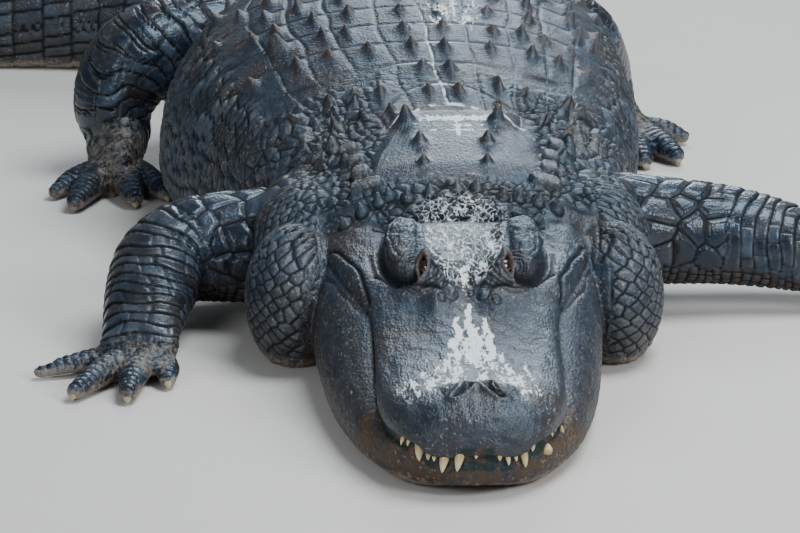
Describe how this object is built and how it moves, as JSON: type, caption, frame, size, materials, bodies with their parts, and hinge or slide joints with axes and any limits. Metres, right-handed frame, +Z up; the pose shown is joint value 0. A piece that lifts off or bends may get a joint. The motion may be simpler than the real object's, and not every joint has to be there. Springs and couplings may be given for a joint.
{
  "type": "alligator model",
  "caption": "Life-size still model of a large American alligator lying flat with its mouth shut, one foreleg forward, one out to the side, and its tail bent round.",
  "frame": {"origin": "on the floor under the widest part of the trunk, in the middle of the belly's flat", "axes": "+Z up, -Y the way the snout points, +X the animal's left side, which is the right of the picture"},
  "size_m": [2.587, 2.7881, 0.3931],
  "materials": {
    "skin": "semi-gloss",
    "jaw": "satin",
    "leg": "gloss",
    "eye": "gloss",
    "claw": "satin"
  },
  "bodies": {
    "root": {"head": "skin", "lower_jaw": "jaw", "neck": "skin", "torso": "skin", "tail_1": "skin", "tail_2": "skin", "tail_3": "skin", "tail_4": "skin", "eye_left": "eye", "eye_right": "eye", "upper_arm_left": "leg", "forearm_left": "leg", "hand_left": "leg", "upper_arm_right": "leg", "forearm_right": "leg", "hand_right": "leg", "thigh_left": "leg", "shank_left": "leg", "foot_left": "leg", "thigh_right": "leg", "shank_right": "leg", "foot_right": "leg", "claw_hand_left_1": "claw", "claw_hand_left_2": "claw", "claw_hand_left_3": "claw", "claw_hand_right_1": "claw", "claw_hand_right_2": "claw", "claw_hand_right_3": "claw", "claw_foot_left_1": "claw", "claw_foot_left_2": "claw", "claw_foot_left_3": "claw", "claw_foot_right_1": "claw", "claw_foot_right_2": "claw", "claw_foot_right_3": "claw"}
  },
  "joints": []
}
